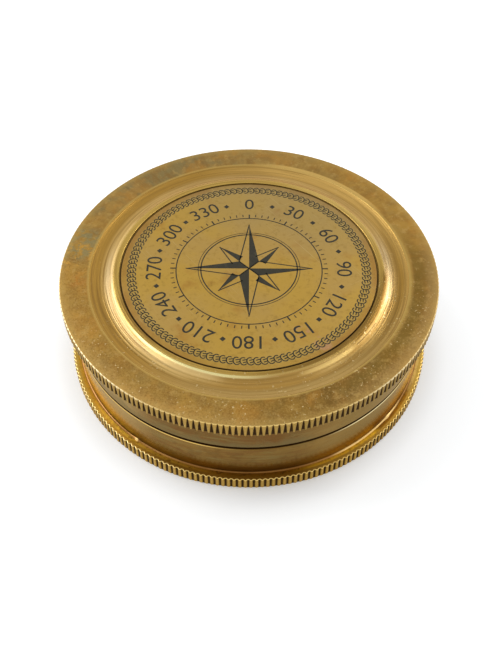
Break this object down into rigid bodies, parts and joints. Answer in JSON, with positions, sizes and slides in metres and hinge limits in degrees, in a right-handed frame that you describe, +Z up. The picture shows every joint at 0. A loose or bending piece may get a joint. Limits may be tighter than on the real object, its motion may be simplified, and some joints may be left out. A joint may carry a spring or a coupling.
{
  "type": "pocket compass",
  "caption": "Round brass pocket compass: knurled screw lid with an engraved plaque, threaded neck, glass under a screwed ring, printed dial, and a magnetic needle on a steel point.",
  "frame": {"origin": "centre of the base plate's underside", "axes": "+Z up along the round axis; at rest the needle's north arm lies along +Y"},
  "size_m": [0.076, 0.076, 0.0213],
  "materials": {
    "rim_brass": "antique satin, turned, with patina",
    "wall_brass": "brown antique satin",
    "plaque_brass": "satin, etched and darkened",
    "inner_brass": "satin, turned",
    "solder": "copper-coloured solder",
    "steel": "polished",
    "needle_steel": "north arm blued, south arm bright",
    "dial_paper": "printed card",
    "gasket": "matte",
    "glass": "clear flat glass",
    "jewel": "polished agate"
  },
  "bodies": {
    "case": {"base_plate": "rim_brass", "base_solder_bead": "solder", "case_wall": "wall_brass", "neck_ring": "inner_brass", "dial_plate": "inner_brass", "dial_card": "dial_paper", "pivot_post": "inner_brass", "pivot_nut": "inner_brass", "pivot_pin": "steel", "spacer_ring": "inner_brass", "glass_gasket": "gasket", "glass": "glass", "glass_ring": "inner_brass"},
    "needle": {"needle_blade": "needle_steel", "needle_cap": "inner_brass", "needle_jewel": "jewel", "balance_rider": "inner_brass"},
    "lid_bead": {"lid_solder_bead": "solder"},
    "lid": {"lid_plate": "rim_brass", "lid_skirt": "wall_brass", "lid_plaque": "plaque_brass"}
  },
  "joints": [
    {"name": "needle_swing", "type": "hinge", "parent": "case", "child": "needle", "pos_m": [0, 0, 0.0093], "axis": [0, 0, 1], "continuous": true},
    {"name": "lid_lift", "type": "slide", "parent": "case", "child": "lid_bead", "axis": [0, 0, 1], "range_m": [0, 0.06]},
    {"name": "lid_turn", "type": "hinge", "parent": "lid_bead", "child": "lid", "pos_m": [0, 0, 0.018], "axis": [0, 0, 1], "range_deg": [0, 900]}
  ]
}
